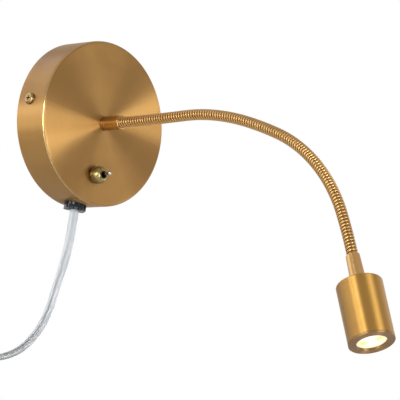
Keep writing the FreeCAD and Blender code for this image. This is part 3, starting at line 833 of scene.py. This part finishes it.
@dataclass
class PhotoCamera:
    """The camera that the photo was taken with, from a fit of the lamp's sizes."""

    azimuth_deg: float = -45.12
    elevation_deg: float = -12.59
    roll_deg: float = 9.43
    position: tuple[float, float, float] = (-1.1590, -1.2908, -0.4266)
    lens_mm: float = 219.7
    sensor_mm: float = 36.0
    nearest: float = 0.05
    farthest: float = 50

    def build(self) -> None:
        """Add the camera and make it the scene's."""
        data = bpy.data.cameras.new("photo_camera")
        data.lens = self.lens_mm
        data.sensor_width = self.sensor_mm
        data.clip_start = self.nearest
        data.clip_end = self.farthest
        camera = bpy.data.objects.new("photo_camera", data)
        turn = (Matrix.Rotation(math.radians(self.azimuth_deg), 4, "Z")
                @ Matrix.Rotation(math.radians(90 - self.elevation_deg), 4, "X")
                @ Matrix.Rotation(math.radians(self.roll_deg), 4, "Z"))
        camera.matrix_world = Matrix.Translation(self.position) @ turn
        bpy.context.scene.collection.objects.link(camera)
        bpy.context.scene.camera = camera


@dataclass(frozen=True)
class SoftLamp:
    """Soft rectangular lamp that looks at the object."""

    name: str
    direction: tuple[float, float, float]
    watts: float
    size: tuple[float, float] = (0.4, 0.4)
    distance: float = 1.6
    target: tuple[float, float, float] = (0, -0.15, -0.05)
    colour: Colour = (0.90, 1.01, 1.15)

    def build(self) -> None:
        """Add the lamp."""
        data = bpy.data.lights.new(self.name, "AREA")
        data.shape = "RECTANGLE"
        data.size, data.size_y = self.size
        data.energy = self.watts
        data.color = self.colour
        lamp = bpy.data.objects.new(self.name, data)
        away = Vector(self.direction).normalized()
        lamp.matrix_world = (Matrix.Translation(Vector(self.target) + away * self.distance)
                             @ away.to_track_quat("Z", "Y").to_matrix().to_4x4())
        bpy.context.scene.collection.objects.link(lamp)


@dataclass
class Studio:
    """White room, pale floor and soft lamps."""

    fill: float = 0.55
    seen_white: float = 1.0
    floor_height: float = -0.75
    floor_size: float = 12.0
    lamps: tuple[SoftLamp, ...] = (
        SoftLamp("low_left", (-0.854, 0.172, -0.491), 4.5),
        SoftLamp("front", (0.0, -0.987, -0.16), 12.0),
        SoftLamp("front_left", (-0.108, -0.989, 0.103), 2.4),
        SoftLamp("left", (-0.971, -0.118, -0.209), 12.0),
        SoftLamp("high_left", (-0.945, -0.313, 0.091), 14.5),
        SoftLamp("front_right", (0.113, -0.99, 0.078), 6.2),
        SoftLamp("right", (0.85, -0.52, -0.06), 5.6, (1.2, 0.5)),
        SoftLamp("back_left", (-0.42, 0.80, 0.42), 13.0, (1.8, 1.4)))

    def world(self) -> None:
        """White where the camera or a reflection sees it, and a plain grey fill elsewhere."""
        world = bpy.data.worlds.new("studio")
        world.cycles.sampling_method = "NONE"
        bpy.context.scene.world = world
        board = NodeBoard(world, "ShaderNodeOutputWorld")
        rays = board.add("ShaderNodeLightPath").outputs
        seen = board.math("MAXIMUM", rays["Is Camera Ray"], rays["Is Transmission Ray"])
        mix = board.add("ShaderNodeMixShader")
        board.join(board.math("MAXIMUM", seen, rays["Is Glossy Ray"]), mix.inputs[0])
        for socket, strength in ((mix.inputs[1], self.fill), (mix.inputs[2], self.seen_white)):
            light = board.add("ShaderNodeBackground")
            light.inputs["Color"].default_value = WHITE
            light.inputs["Strength"].default_value = strength
            board.join(light.outputs[0], socket)
        board.join(mix.outputs[0], board.surface)

    def floor(self) -> None:
        """Add the pale floor."""
        bm = bmesh.new()
        bmesh.ops.create_grid(bm, x_segments=1, y_segments=1, size=self.floor_size / 2)
        floor = Bench.finished("floor", bm, Matrix.Translation((0, 0, self.floor_height)))
        floor.data.materials.append(FLOOR_WHITE.material())

    def build(self) -> None:
        """Light the scene."""
        self.world()
        self.floor()
        for lamp in self.lamps:
            lamp.build()


# Sub-assemblies

@dataclass
class Base:
    """Drum cover with its screws, bracket, stem and inner pieces."""

    radius: float = 60.0 * MM
    depth: float = 28.0 * MM
    wall: float = 1.2 * MM
    edge: float = 2.0 * MM
    flat_lip: float = 0.4 * MM
    polish_from: float = 0.3
    polish_to: float = 0.75
    screw_line: Vector = Vector((0, -12.2 * MM, 1.4 * MM))
    stem_radius: float = 5.2 * MM
    stem_length: float = 18.0 * MM
    stem_round: float = 0.5 * MM
    stem_lip: float = 0.2 * MM
    stem_bore: float = 2.5 * MM
    thread_radius: float = 4.0 * MM
    thread_length: float = 9.7 * MM
    socket_depth: float = 9.0 * MM

    def cover(self) -> None:
        """Spun cover with a rolled front edge, polished where it turns towards the side."""
        outer = [(self.radius, 0.0), (self.radius, self.flat_lip), (self.radius, self.depth / 2),
                 (self.radius, self.depth - self.edge - self.flat_lip)]
        outer += Bench.arc((self.radius - self.edge, self.depth - self.edge), self.edge, 0, 90,
                           steps=10)
        outer += [(self.radius - self.edge - self.flat_lip, self.depth),
                  (self.radius / 2, self.depth), (self.radius / 6, self.depth), (0.0, self.depth)]
        bore, ceiling = self.radius - self.wall, self.depth - self.wall
        curl = self.edge - self.wall
        inner = [(0.0, ceiling), (bore - curl - self.flat_lip, ceiling)]
        inner += Bench.arc((bore - curl, ceiling - curl), curl, 90, 0, steps=5)
        inner += [(bore, self.depth / 2), (bore, 0.0)]
        piece = Bench.lathe("cover_shell", outer + inner, WALL, steps=160)
        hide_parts("base_cover")
        Bench.dress(piece, BRUSHED_FACE.material(ORIGIN, TO_ROOM), "brushed_brass", "base")
        piece.data.materials.append(EDGE_BRASS.material(ORIGIN, TO_ROOM))
        for face in piece.data.polygons:
            outwards = face.normal.x * face.center.x + face.normal.z * face.center.z > 0
            if outwards and self.polish_from < -face.normal.y < self.polish_to:
                face.material_index = 1

    def screws(self) -> None:
        """Side screws and the inner bracket."""
        piece = Bench.smoothed("cover_screws", "side_screws")
        Bench.dress(piece, SCREW_BRASS.material(self.screw_line, SIDEWAYS), "switch_trim", "base")
        Bench.coat_node("wall_bracket", ZINC.material(ORIGIN, TO_WALL))

    def stem(self) -> None:
        """Ferrule that carries the hose, with its nipple inside the cover."""
        top, floor = self.stem_length, self.stem_length - self.socket_depth
        outline = [(self.stem_bore, -self.thread_length), (self.thread_radius, -self.thread_length),
                   (self.thread_radius, 0.0), (self.stem_radius, 0.0),
                   (self.stem_radius, top - self.stem_round - self.stem_lip)]
        outline += Bench.arc((self.stem_radius - self.stem_round, top - self.stem_round),
                             self.stem_round, 0, 90, steps=5)
        outline += [(self.thread_radius, top), (self.thread_radius, floor), (self.stem_bore, floor)]
        sleeve = Bench.lathe("stem_sleeve", outline, Bench.towards(TO_ROOM * self.depth, TO_ROOM),
                             steps=64)
        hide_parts("base_ferrule")
        Bench.dress(sleeve, BRUSHED_STEM.material(ORIGIN, TO_ROOM), "brushed_brass", "base")

    def inside(self) -> None:
        """Nut, driver and block keep their CAD solids and get finishes; the wiring is smoothed."""
        for node in ("ferrule_washer", "ferrule_nut", "terminal_screws"):
            Bench.coat_node(node, ZINC.material(ORIGIN, TO_ROOM))
        for node, finish in (("driver_pad", FOAM), ("driver_case", DRIVER_WHITE),
                             ("driver_lid", DRIVER_WHITE), ("driver_board", CIRCUIT_GREEN),
                             ("terminal_block", BLOCK_CREAM)):
            Bench.coat_node(node, finish.material())
        wires = Bench.smoothed("base_wires", "inner_cores")
        Bench.dress(wires, WIRE_BROWN.material(), "wire_cover", "base")

    def build(self) -> None:
        """Build the base."""
        self.cover()
        self.screws()
        self.stem()
        self.inside()


@dataclass
class Switch:
    """Toggle switch on the face."""

    drop: float = 38.7 * MM
    face: float = 28.0 * MM
    nut_radius: float = 6.3 * MM
    nut_length: float = 8.1 * MM
    nut_bevel: float = 0.25 * MM
    root_radius: float = 5.4 * MM
    root_length: float = 0.7 * MM
    nose_radius: float = 3.2 * MM
    dome: float = 4.7 * MM
    bore: float = 3.05 * MM

    def nut(self, place: Matrix, centre: Vector) -> None:
        """Domed dress nut.

        Args:
            place: Frame on the face, looking out.
            centre: Its origin.
        """
        waist = self.nut_length - self.dome
        span = self.nut_radius - self.nose_radius
        outline = [(self.bore, 0.0), (self.root_radius, 0.0), (self.root_radius, self.root_length),
                   (self.nut_radius - self.nut_bevel, self.root_length),
                   (self.nut_radius, self.root_length + self.nut_bevel)]
        outline += Bench.arc((self.nose_radius, waist), span, 0, 90, steps=12,
                             stretch=self.dome / span)
        outline.append((self.bore, self.nut_length))
        nut = Bench.lathe("switch_nut", outline, place, steps=64)
        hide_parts("toggle_dress_nut")
        Bench.dress(nut, SWITCH_BRASS.material(centre, TO_ROOM), "switch_trim", "base")

    def build(self) -> None:
        """Build the dressed nut and smooth the other pieces."""
        place = Bench.towards(Vector((0, -self.face, -self.drop)), TO_ROOM)
        centre = place.translation.copy()
        self.nut(place, centre)
        for node, name in (("toggle_bushing", "switch_bushing"),
                           ("toggle_lock_nut", "switch_lock_nut")):
            Bench.dress(Bench.smoothed(node, name), BUSHING.material(centre, TO_ROOM),
                        "switch_trim", "base")
        lever = Bench.smoothed("toggle_lever", "switch_lever", sharp=50)
        Bench.dress(lever, CHROME.material(centre, TO_ROOM), "switch_trim", "toggle")
        body = Bench.smoothed("toggle_body", "switch_body")
        Bench.dress(body, BLACK_PLASTIC.material(), "black_plastic", "base")
        Bench.coat_node("toggle_terminals", ZINC.material(centre, TO_ROOM))


@dataclass
class Hose:
    """Spiral-wound gooseneck in eight spans, each reaching across one joint of its path."""

    crest: float = 3.9 * MM
    groove: float = 2.95 * MM
    steps_per_turn: int = 28
    overlap_ribs: int = 3
    mid_ribs: int = 6
    blend_reach: float = 10.0 * MM
    # Faces lower than this share of the rib's height get the painted groove shade.
    groove_shade_share: float = 0.45
    weld: float = 1e-6
    section: tuple[tuple[float, float], ...] = (
        (0.0, 0.0), (0.07, 0.12), (0.13, 0.48), (0.20, 0.84), (0.28, 0.98), (0.44, 1.0),
        (0.60, 0.98), (0.69, 0.84), (0.76, 0.48), (0.84, 0.12), (0.92, 0.0), (1.0, 0.0))

    def span(self, name: str, first_rib: int, last_rib: int) -> bpy.types.Object:
        """One stretch of hose: a rib wound straight, then bent to the path.

        Args:
            name: The object's name.
            first_rib: Where it starts, in pitches from the stem's mouth.
            last_rib: Where it ends.

        Returns:
            The object.
        """
        bm = bmesh.new()
        rise, turns = self.crest - self.groove, last_rib - first_rib
        corners = [bm.verts.new((self.groove + rise * height, 0, share * HOSE.pitch))
                   for share, height in self.section]
        edges = [bm.edges.new(pair) for pair in zip(corners, corners[1:])]
        bmesh.ops.spin(bm, geom=corners + edges, axis=UP, angle=2 * math.pi * turns,
                       steps=turns * self.steps_per_turn,
                       dvec=UP * HOSE.pitch / self.steps_per_turn)
        # Faces low in the groove take the second material, a painted shade in the grooves.
        groove_shade_below = self.groove + rise * self.groove_shade_share
        for face in bm.faces:
            face.material_index = int(min(v.co.xy.length for v in face.verts) < groove_shade_below)
        for vert in bm.verts:
            vert.co = HOSE.wrap(vert.co + UP * first_rib * HOSE.pitch)
        bmesh.ops.remove_doubles(bm, verts=bm.verts, dist=self.weld)
        Bench.close(bm)
        return Bench.finished(name, bm, sharp=60)

    def build(self) -> None:
        """Build the eight spans."""
        spans = len(HOSE.bends_deg) - 1
        finish = HOSE_BRASS.material(ORIGIN, SIDEWAYS)
        # Second material: painted shade for the groove bottoms.
        groove_shade_material = HOSE_GROOVE_SHADE.material(ORIGIN, SIDEWAYS)
        cuts = [HOSE.ribs_per_cell * k + self.mid_ribs for k in range(1, spans)]
        cuts = [-self.overlap_ribs, *cuts, HOSE.ribs_per_cell * (spans + 1) + self.overlap_ribs]
        for k, (first, last) in enumerate(zip(cuts, cuts[1:]), start=1):
            piece = self.span("hose_span_%d" % k, first, last)
            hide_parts("hose_link_%d" % k, "hose_turn_%d" % k)
            if k == spans:
                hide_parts("hose_link_%d" % (spans + 1))
            Bench.dress(piece, finish, "hose_brass")
            piece.data.materials.append(groove_shade_material)
            joint = k * HOSE.cell
            HOSE.at(joint - self.blend_reach)[0]
            HOSE.at(joint + self.blend_reach)[0]
            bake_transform(piece)


@dataclass
class Head:
    """Lamp head with its neck, end ring and lit lens, on the end of the hose."""

    radius: float = 15.25 * MM
    length: float = 42.7 * MM
    wall: float = 1.3 * MM
    top_edge: float = 1.4 * MM
    top_thickness: float = 1.6 * MM
    neck: float = 20.7 * MM
    neck_mouth: float = 4.65 * MM
    neck_foot: float = 5.3 * MM
    neck_bore: float = 2.5 * MM
    neck_hole: float = 4.2 * MM
    thread_radius: float = 4.0 * MM
    thread_length: float = 6.1 * MM
    socket_depth: float = 9.0 * MM
    opening: float = 10.0 * MM
    ring: float = 1.5 * MM
    spigot_gap: float = 0.1 * MM
    spigot_wall: float = 1.2 * MM
    spigot_length: float = 6.0 * MM
    lens_radius: float = 12.4 * MM
    lens_thickness: float = 1.8 * MM
    lens_ring: float = 0.6
    groove_bevel: float = 0.15 * MM
    fine_bevel: float = 0.2 * MM
    bevel: float = 0.25 * MM
    mouth_bevel: float = 0.3 * MM
    top_lip: float = 0.3 * MM
    side_lip: float = 0.4 * MM
    place: Matrix = HOSE.frame_at(HOSE.length)

    @property
    def centre(self) -> Vector:
        """Middle of the neck's mouth."""
        return self.place.translation.copy()

    @property
    def axis(self) -> Vector:
        """Direction from the neck to the open end."""
        return self.place.to_3x3() @ UP

    @property
    def end(self) -> float:
        """Height of the open end above the neck's mouth."""
        return self.neck + self.length

    @property
    def seam(self) -> float:
        """Height of the joint between shell and end ring."""
        return self.end - self.ring

    @property
    def inner(self) -> float:
        """Radius of the shell's bore."""
        return self.radius - self.wall

    def neck_sleeve(self) -> None:
        """Long tapered ferrule with its threaded end inside the shell."""
        tip = self.neck + self.thread_length
        outline = [(self.thread_radius, 0.0), (self.neck_mouth - self.bevel, 0.0),
                   (self.neck_mouth, self.mouth_bevel), (self.neck_foot, self.neck),
                   (self.thread_radius, self.neck), (self.thread_radius, tip),
                   (self.neck_bore, tip), (self.neck_bore, self.socket_depth),
                   (self.thread_radius, self.socket_depth)]
        neck = Bench.lathe("neck_sleeve", outline, self.place, steps=64)
        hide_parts("head_ferrule")
        Bench.dress(neck, BRUSHED_NECK.material(self.centre, self.axis), "brushed_brass", "head")

    def shell(self) -> None:
        """Cylindrical housing with a rounded top edge."""
        edge = self.top_edge
        ceiling = self.neck + self.top_thickness
        outline = [(self.neck_hole, self.neck), (self.radius - edge - self.top_lip, self.neck)]
        outline += Bench.arc((self.radius - edge, self.neck + edge), edge, -90, 0, steps=8)
        outline += [(self.radius, self.neck + edge + self.side_lip),
                    (self.radius, self.neck + self.length / 2),
                    (self.radius, self.seam - self.groove_bevel),
                    (self.radius - self.groove_bevel, self.seam), (self.inner, self.seam),
                    (self.inner, ceiling), (self.neck_hole, ceiling)]
        housing = Bench.lathe("head_shell", outline, self.place)
        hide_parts("lamp_housing")
        Bench.dress(housing, BRUSHED_HEAD.material(self.centre, self.axis), "brushed_brass", "head")

    def end_ring(self) -> None:
        """Flat ring round the lens, with a spigot in the shell."""
        spigot, fine = self.inner - self.spigot_gap, self.fine_bevel
        bore, foot = spigot - self.spigot_wall, self.seam - self.spigot_length
        outline = [(bore, foot), (spigot, foot), (spigot, self.seam),
                   (self.radius - fine, self.seam), (self.radius, self.seam + fine),
                   (self.radius, self.end - self.bevel),
                   (self.radius - self.bevel, self.end), (self.opening + fine, self.end),
                   (self.opening, self.end - fine), (self.opening, self.seam), (bore, self.seam)]
        bezel = Bench.lathe("end_ring", outline, self.place)
        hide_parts("front_bezel")
        Bench.dress(bezel, BRUSHED_RING.material(self.centre, self.axis), "brushed_brass", "head")

    def lens(self) -> None:
        """Lit lens behind the ring."""
        back = self.seam - self.lens_thickness
        outline = [(0.0, back), (self.lens_radius, back), (self.lens_radius, self.seam),
                   (self.opening * self.lens_ring, self.seam), (0.0, self.seam)]
        lens = Bench.lathe("lens_disc", outline, self.place)
        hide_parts("diffuser_lens")
        Bench.dress(lens, LENS.material(self.centre + self.axis * self.seam, self.axis),
                    "opal_lens", "head")

    def build(self) -> None:
        """Build the head and finish what is inside it."""
        self.neck_sleeve()
        self.shell()
        self.end_ring()
        self.lens()
        Bench.coat_node("led_board", BOARD_WHITE.material())
        Bench.coat_node("led_chips", CHIP_YELLOW.material())
        Bench.coat_node("heat_sink", ALUMINIUM.material(self.centre, self.axis))
        Bench.coat_node("head_nut", ZINC.material(self.centre, self.axis))


@dataclass
class Cord:
    """Flat clear two-core cord that hangs from the grip, its spare length coiled and tied."""

    width: float = 6.8 * MM
    thickness: float = 4.4 * MM
    waist: float = 0.86
    lobe_steps: int = 6
    depth: float = 12.2 * MM
    route_xz: tuple[tuple[float, float], ...] = (
        (0, -54.3), (1, -80), (-0.5, -102), (-4, -120), (-6.5, -138), (-12.5, -156),
        (-26.5, -174), (-45, -184), (-70, -189.5))
    coil_centre_xz: tuple[float, float] = (-95.0, -239.5)
    coil_radius: float = 50.0 * MM
    turn_spacing: float = 7.05 * MM
    layer_spacing: float = 7.2 * MM
    turns: int = 3
    points_per_turn: int = 16
    tail_xz: tuple[tuple[float, float], ...] = (
        (-80, -291.2625), (-66, -295.7625), (-58.384, -298.2105))
    real_length: float = 1.8
    line_steps: int = 8
    first_turn_deg: float = 27.0
    turned_by: float = 0.075
    core_radius: float = 1.15 * MM
    core_offset: float = 1.35 * MM
    core_sides: int = 8
    plug_centre: Vector = Vector((-0.06, -0.019, -0.295))
    plug_axis: Vector = Vector((0.95, 0, -0.3))

    def control_points(self) -> list[Vector]:
        """Route, coil and tail as one list of control points.

        Returns:
            The points in metres.
        """
        back, front = -self.depth, -self.depth - self.layer_spacing
        points = [Vector((x * MM, back, z * MM)) for x, z in self.route_xz]
        centre = Vector((self.coil_centre_xz[0] * MM, 0, self.coil_centre_xz[1] * MM))
        per = self.points_per_turn
        swell = 1 / math.cos(math.pi / per)
        step = self.turn_spacing / per
        inner = self.coil_radius - self.turns * self.turn_spacing
        climb = per // 4
        rounds = [(self.coil_radius - step * i, back) for i in range(self.turns * per)]
        rounds += [(inner, back - self.layer_spacing * ease(i / climb)) for i in range(climb)]
        rounds += [(inner + step * i, front) for i in range(self.turns * per + climb + 1)]
        for i, (radius, y) in enumerate(rounds):
            angle = math.pi / 2 + 2 * math.pi * i / per
            points.append(centre + Vector((radius * swell * math.cos(angle), y,
                                           radius * swell * math.sin(angle))))
        return points + [Vector((x * MM, front, z * MM)) for x, z in self.tail_xz]

    def line(self) -> list[Vector]:
        """Points along the smooth NURBS line through the control points.

        Returns:
            Closely spaced points.
        """
        curve = bpy.data.curves.new("cord_line", "CURVE")
        curve.dimensions = "3D"
        curve.resolution_u = self.line_steps
        spline = curve.splines.new("NURBS")
        points = self.control_points()
        spline.points.add(len(points) - 1)
        for target, point in zip(spline.points, points):
            target.co = (*point, 1)
        spline.order_u = 3
        spline.use_endpoint_u = True
        holder = bpy.data.objects.new("cord_line", curve)
        mesh = bpy.data.meshes.new_from_object(holder)
        line = [v.co.copy() for v in mesh.vertices]
        bpy.data.objects.remove(holder)
        bpy.data.meshes.remove(mesh)
        bpy.data.curves.remove(curve)
        return line

    def sweep(self, name: str, line: Sequence[Vector], section: Outline) -> bpy.types.Object:
        """Carry a closed section along the line; its wide side slowly turns edgewise to the wall.

        Args:
            name: The object's name.
            line: The points it follows.
            section: Corners as distance along the wide side and across it.

        Returns:
            The object.
        """
        bm = bmesh.new()
        rings: list[list[bmesh.types.BMVert]] = []
        travelled = 0.0
        for i, point in enumerate(line):
            travelled += (point - line[max(i - 1, 0)]).length
            tangent = (line[min(i + 1, len(line) - 1)] - line[max(i - 1, 0)]).normalized()
            share = ease(min(1.0, travelled / self.turned_by))
            angle = math.radians(self.first_turn_deg + (90 - self.first_turn_deg) * share)
            normal = Vector((-tangent.z, 0, tangent.x)).normalized()
            wide = normal * math.cos(angle) + TO_ROOM * math.sin(angle)
            wide = (wide - tangent * wide.dot(tangent)).normalized()
            thin = tangent.cross(wide)
            rings.append([bm.verts.new(point + wide * u + thin * v) for u, v in section])
        for before, after in zip(rings, rings[1:]):
            for corners in zip(before, before[1:] + before[:1], after[1:] + after[:1], after):
                bm.faces.new(corners)
        Bench.close(bm)
        return Bench.finished(name, bm, sharp=60)

    def jacket_section(self) -> Outline:
        """Two round lobes joined by a web.

        Returns:
            The corners, from the middle of the cord.
        """
        lobe = self.thickness / 2
        reach = self.width / 2 - lobe
        corners: list[tuple[float, float]] = []
        for side in (1, -1):
            corners += Bench.arc((side * reach, 0.0), lobe, -90 * side, 180 - 90 * side,
                                 self.lobe_steps)
            corners.append((0.0, side * lobe * self.waist))
        return corners

    def build(self) -> None:
        line = self.line()
        jacket = self.sweep("cord_jacket", line, self.jacket_section())
        for name, offset in (("left", -self.core_offset), ("right", self.core_offset)):
            ring = Bench.arc((offset, 0.0), self.core_radius, 0, 360, self.core_sides)[:-1]
            core = self.sweep("cord_core_%s" % name, line, ring)
            Bench.dress(core, TIN.material(), "clear_pvc", "base")
        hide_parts("power_cord", "cord_coil", "cord_tail")
        Bench.dress(jacket, CLEAR.material(), "clear_pvc", "base")
        tie = Bench.smoothed("coil_tie", "coil_band")
        Bench.dress(tie, BLACK_RUBBER.material(), "tie_black", "base")
        body = Bench.smoothed("plug_body", "plug_shell")
        Bench.dress(body, BLACK_PLASTIC.material(), "black_plastic", "base")
        pins = Bench.smoothed("plug_pins", "plug_blades")
        Bench.dress(pins, PIN_METAL.material(self.plug_centre, self.plug_axis), "pin_brass", "base")


@dataclass
class Grip:
    """Cord grip and the lead inside the lamp."""

    lead_radius: float = 1.8 * MM
    lead_sides: int = 16
    lead_yz: tuple[tuple[float, float], ...] = (
        (-14.3, 16), (-14.3, 8), (-14.7, 4), (-17, 1.2), (-21, 0), (-30, 0), (-38, 0))

    def build(self) -> None:
        """Build the grip and the short inner lead."""
        gland = Bench.smoothed("cord_gland", "cord_grip", sharp=40)
        Bench.dress(gland, BLACK_PLASTIC.material(), "black_plastic", "base")
        points = [Vector((0, y, z)) * MM for y, z in self.lead_yz]
        bm = bmesh.new()
        rings = []
        for before, point, after in zip(points[:1] + points, points, points[1:] + points[-1:]):
            circle = bmesh.ops.create_circle(bm, segments=self.lead_sides, radius=self.lead_radius,
                                             matrix=Bench.towards(point, after - before))
            rings.append(set(circle["verts"]))
        for before, after in zip(rings, rings[1:]):
            edges = [e for e in bm.edges if before.issuperset(e.verts) or after.issuperset(e.verts)]
            bmesh.ops.bridge_loops(bm, edges=edges)
        Bench.close(bm)
        lead = Bench.finished("inner_lead", bm)
        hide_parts("head_lead")
        Bench.dress(lead, BLACK_RUBBER.material(), "lead_black", "base")


def main() -> None:
    """Build every sub-assembly in order."""
    logging.basicConfig(level=logging.INFO, format="%(name)s: %(message)s")
    bpy.context.scene.view_settings.view_transform = "Standard"
    PhotoCamera().build()
    Studio().build()
    makers: Iterable[Callable[[], None]] = (Cord().build, Grip().build, Base().build,
                                            Switch().build, Hose().build, Head().build)
    for make in makers:
        started = time.perf_counter()
        make()
        log.info("%s took %.1f s", make.__qualname__, time.perf_counter() - started)
    bpy.context.view_layer.update()


if __name__ == "__main__":
    main()
